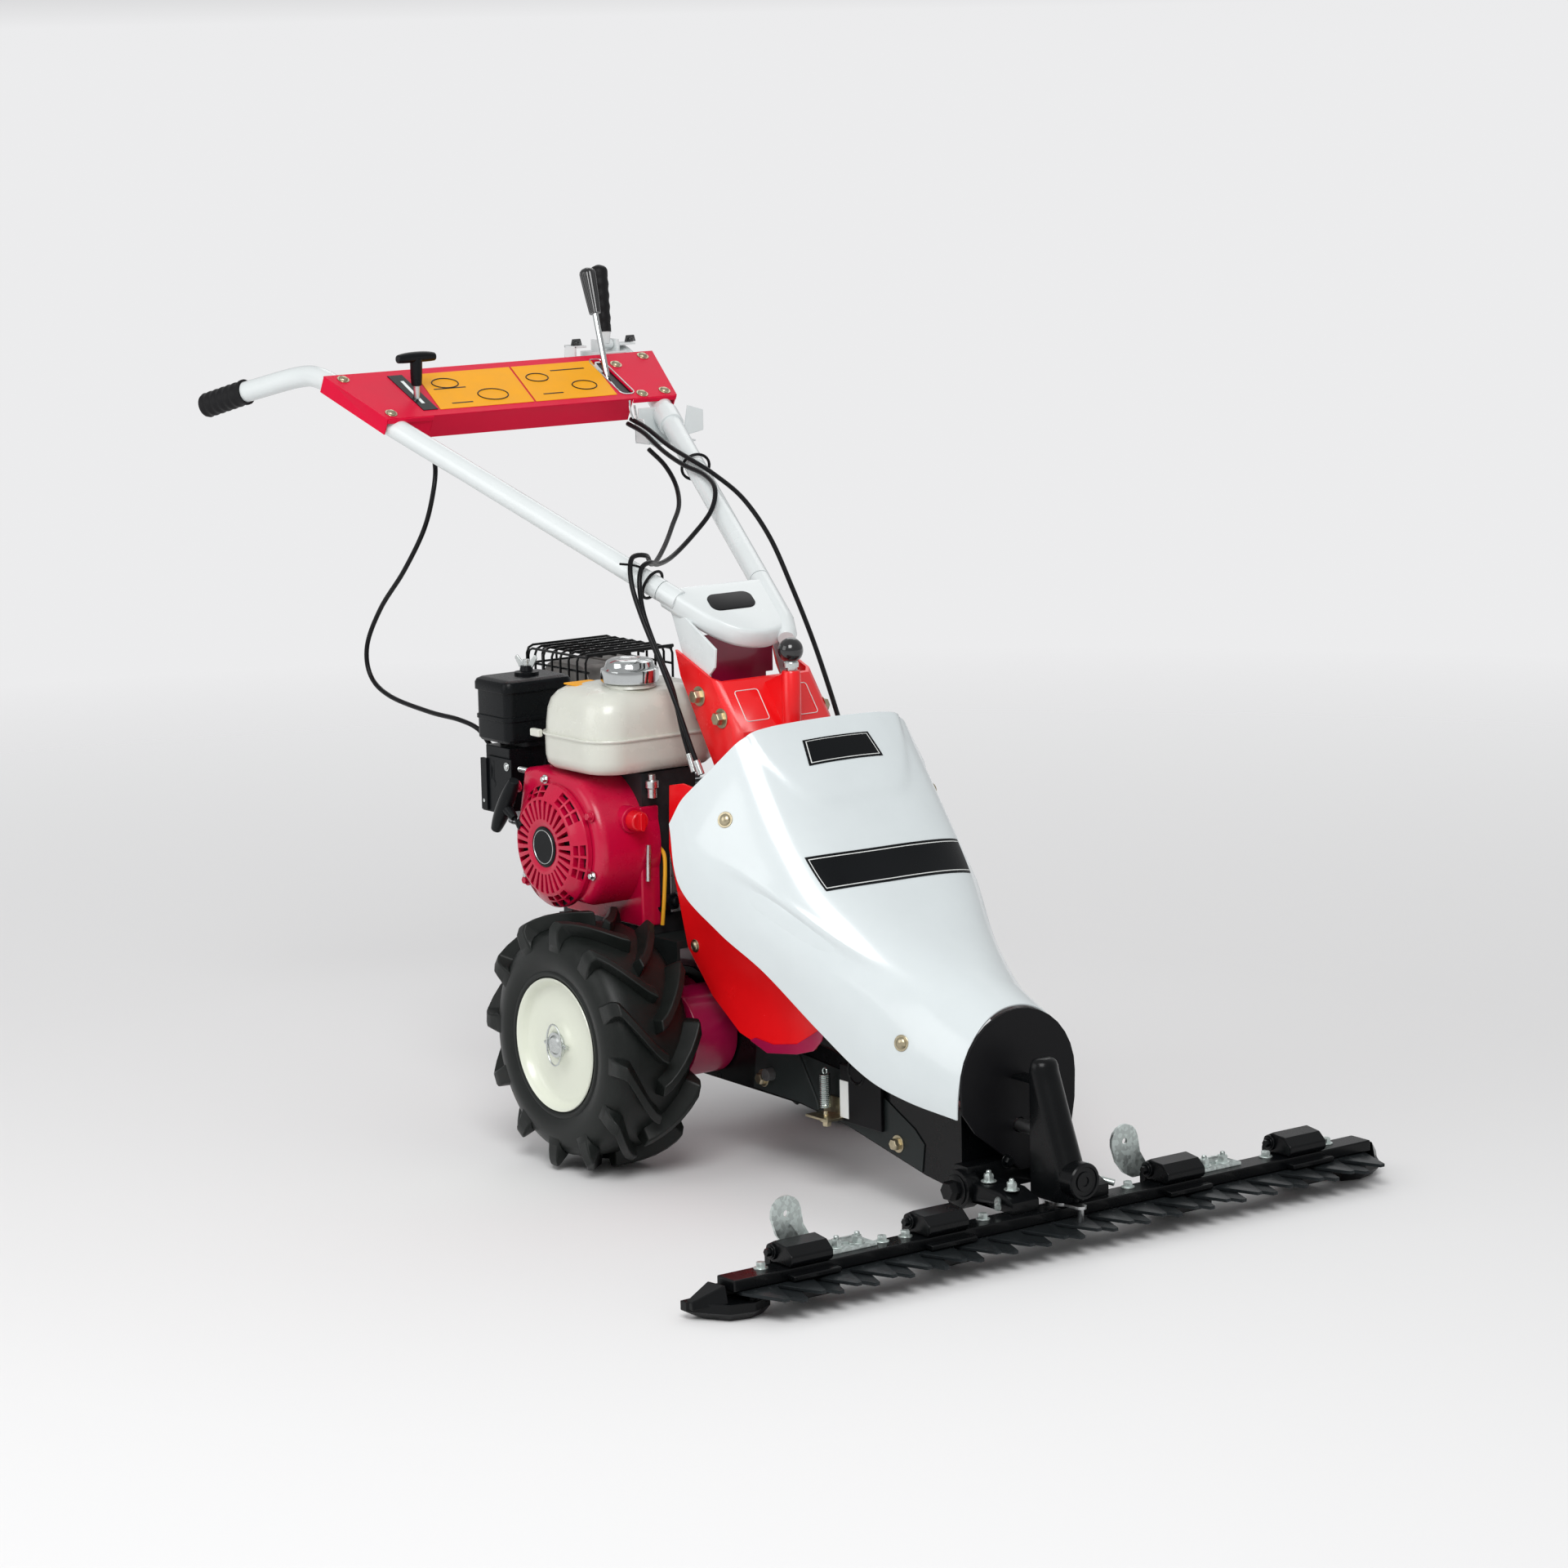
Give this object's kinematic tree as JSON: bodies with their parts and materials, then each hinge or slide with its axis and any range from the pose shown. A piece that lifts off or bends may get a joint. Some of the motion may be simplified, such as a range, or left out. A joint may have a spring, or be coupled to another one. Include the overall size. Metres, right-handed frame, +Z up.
{
  "type": "brush mower",
  "caption": "Walk-behind cutter-bar brush mower: two wheels, rear engine, white hood, red frame guard, double-knife bar and adjustable handlebar with levers and cables.",
  "frame": {"origin": "ground point midway between the wheels, under the axle", "axes": "+Z up, +Y to the rear where the operator walks (the cutter bar is at -Y), +X to the operator's left"},
  "size_m": [1.06, 1.4919, 1.1042],
  "materials": {
    "machined_steel": "satin",
    "wheel_cream": "gloss",
    "tyre_rubber": "matte",
    "gearbox_red": "gloss",
    "black_paint": "satin",
    "bridge_black": "satin",
    "nose_black": "satin",
    "cover_black": "satin",
    "pulley_steel": "satin",
    "pulley_iron": "matte",
    "belt_rubber": "matte",
    "idler_steel": "satin",
    "shaft_steel": "satin",
    "lever_steel": "satin",
    "knife_steel": "satin",
    "bar_black": "satin",
    "guide_black": "satin",
    "galvanised": "satin",
    "shoe_black": "satin",
    "spring_steel": "satin",
    "yellow_zinc": "satin",
    "guard_red": "gloss",
    "hood_white": "gloss",
    "engine_aluminium": "satin",
    "fan_red": "gloss",
    "recoil_red": "gloss",
    "black_plastic": "matte",
    "tank_plastic": "gloss",
    "cap_chrome": "polished",
    "carb_aluminium": "satin",
    "muffler_steel": "satin",
    "guard_black": "satin",
    "switch_red": "gloss",
    "bracket_red": "gloss",
    "knob_black": "satin",
    "fork_white": "gloss",
    "tube_white": "gloss",
    "grip_rubber": "matte",
    "console_red": "gloss",
    "lever_black": "satin",
    "housing_white": "gloss",
    "clutch_black": "matte",
    "cable_black": "satin"
  },
  "bodies": {
    "chassis": {"gearbox_case": "gearbox_red", "main_frame": "black_paint", "engine_bridge": "bridge_black", "front_carrier": "black_paint", "nose_plate": "nose_black", "drive_cover": "cover_black", "v_belt": "belt_rubber", "bar_back": "bar_black", "knife_guide_1": "guide_black", "knife_guide_2": "guide_black", "knife_guide_3": "guide_black", "knife_guide_4": "guide_black", "bar_arm_right": "galvanised", "bar_arm_left": "galvanised", "end_shoe_right": "shoe_black", "end_shoe_left": "shoe_black", "tension_spring": "spring_steel", "spring_bracket": "yellow_zinc", "belt_guard": "guard_red", "hood": "hood_white", "engine_block": "engine_aluminium", "fan_cover": "fan_red", "recoil_housing": "recoil_red", "fuel_tank": "tank_plastic", "air_cleaner": "black_plastic", "carburettor": "carb_aluminium", "muffler": "muffler_steel", "muffler_guard": "guard_black", "throttle_cable": "cable_black", "knife_cable": "cable_black", "drive_cable": "cable_black", "safety_cable": "cable_black"},
    "wheels": {"axle": "machined_steel", "rim_right": "wheel_cream", "rim_left": "wheel_cream", "tyre_right": "tyre_rubber", "tyre_left": "tyre_rubber"},
    "crankshaft": {"crankshaft_pulley": "pulley_steel"},
    "countershaft": {"driven_pulley": "pulley_iron"},
    "drive_shaft": {"drive_shaft": "shaft_steel"},
    "rocker": {"drive_lever": "lever_steel"},
    "upper_knife": {"upper_knife": "knife_steel"},
    "lower_knife": {"lower_knife": "knife_steel"},
    "idler": {"idler_arm": "idler_steel"},
    "bracket": {"handlebar_bracket": "bracket_red"},
    "handlebar": {"handle_fork": "fork_white", "handle_tube_right": "tube_white", "handle_tube_left": "tube_white", "grip_right": "grip_rubber", "grip_left": "grip_rubber", "console": "console_red", "lever_housing": "housing_white"},
    "clutch_lever": {"clutch_lever": "clutch_black"},
    "shift_lever": {"shift_lever": "lever_black"},
    "throttle_lever": {"throttle_lever": "lever_black"},
    "lock_knob": {"lock_knob": "knob_black"},
    "starter_grip": {"starter_grip": "black_plastic"},
    "engine_switch": {"engine_switch": "switch_red"},
    "fuel_cap": {"fuel_cap": "cap_chrome"},
    "choke_lever": {"choke_lever": "black_plastic"}
  },
  "joints": [
    {"name": "wheel_spin", "type": "hinge", "parent": "chassis", "child": "wheels", "pos_m": [0, 0, 0.165], "axis": [1, 0, 0], "continuous": true},
    {"name": "crankshaft_spin", "type": "hinge", "parent": "chassis", "child": "crankshaft", "pos_m": [0.085, 0.07, 0.4], "axis": [1, 0, 0], "continuous": true},
    {"name": "countershaft_spin", "type": "hinge", "parent": "chassis", "child": "countershaft", "pos_m": [0.085, -0.19, 0.13], "axis": [1, 0, 0], "continuous": true},
    {"name": "drive_shaft_spin", "type": "hinge", "parent": "chassis", "child": "drive_shaft", "pos_m": [0, -0.44, 0.13], "axis": [0, 1, 0], "continuous": true},
    {"name": "upper_knife_slide", "type": "slide", "parent": "chassis", "child": "upper_knife", "axis": [1, 0, 0], "range_m": [-0.0128, 0.0128]},
    {"name": "lower_knife_slide", "type": "slide", "parent": "chassis", "child": "lower_knife", "axis": [1, 0, 0], "range_m": [-0.0128, 0.0128]},
    {"name": "rocker_swing", "type": "hinge", "parent": "chassis", "child": "rocker", "pos_m": [0, -0.68, 0.0485], "axis": [0, 0, 1], "range_deg": [-23, 23]},
    {"name": "idler_swing", "type": "hinge", "parent": "chassis", "child": "idler", "pos_m": [0.1, -0.066, 0.368], "axis": [1, 0, 0], "range_deg": [0, 6.3]},
    {"name": "handlebar_swivel", "type": "hinge", "parent": "chassis", "child": "bracket", "pos_m": [0, -0.11, 0.492], "axis": [0, 0, 1], "range_deg": [-15, 15]},
    {"name": "handlebar_tilt", "type": "hinge", "parent": "bracket", "child": "handlebar", "pos_m": [0, -0.069, 0.595], "axis": [1, 0, 0], "range_deg": [-10, 12], "deforming": ["throttle_cable", "knife_cable", "drive_cable", "safety_cable"]},
    {"name": "lock_pin_pull", "type": "slide", "parent": "bracket", "child": "lock_knob", "axis": [0, 0, 1], "range_m": [0, 0.012], "stiffness_N_per_m": 800, "springref_m": -0.004},
    {"name": "clutch_squeeze", "type": "hinge", "parent": "handlebar", "child": "clutch_lever", "pos_m": [0.205, 0.53, 0.993], "axis": [1, 0, 0], "range_deg": [-60, 0], "stiffness_Nm_per_rad": 3, "springref_deg": 5.73},
    {"name": "shift_move", "type": "hinge", "parent": "handlebar", "child": "shift_lever", "pos_m": [0.158, 0.452, 0.935], "axis": [1, 0, 0], "range_deg": [-15, 15]},
    {"name": "throttle_move", "type": "hinge", "parent": "handlebar", "child": "throttle_lever", "pos_m": [-0.16, 0.44, 0.935], "axis": [1, 0, 0], "range_deg": [-20, 20]},
    {"name": "starter_pull", "type": "slide", "parent": "chassis", "child": "starter_grip", "axis": [0, 0.8291, 0.5591], "range_m": [0, 0.06], "stiffness_N_per_m": 60, "springref_m": -0.02},
    {"name": "switch_turn", "type": "hinge", "parent": "chassis", "child": "engine_switch", "pos_m": [-0.155, -0.046, 0.444], "axis": [0, 1, 0], "range_deg": [0, 45]},
    {"name": "fuel_cap_turn", "type": "hinge", "parent": "chassis", "child": "fuel_cap", "pos_m": [-0.12, 0.02, 0.612], "axis": [0, 0, 1], "range_deg": [0, 90]},
    {"name": "choke_move", "type": "hinge", "parent": "chassis", "child": "choke_lever", "pos_m": [-0.1968, 0.225, 0.465], "axis": [1, 0, 0], "range_deg": [0, 45]}
  ],
  "couplings": [
    {"joint": "countershaft_spin", "follows": "crankshaft_spin", "ratio": 0.5454},
    {"joint": "drive_shaft_spin", "follows": "crankshaft_spin", "ratio": 0.5454},
    {"joint": "lower_knife_slide", "follows": "upper_knife_slide", "ratio": -1},
    {"joint": "rocker_swing", "follows": "upper_knife_slide", "rad_per_m": 31.25},
    {"joint": "idler_swing", "follows": "clutch_squeeze", "ratio": -0.105}
  ]
}
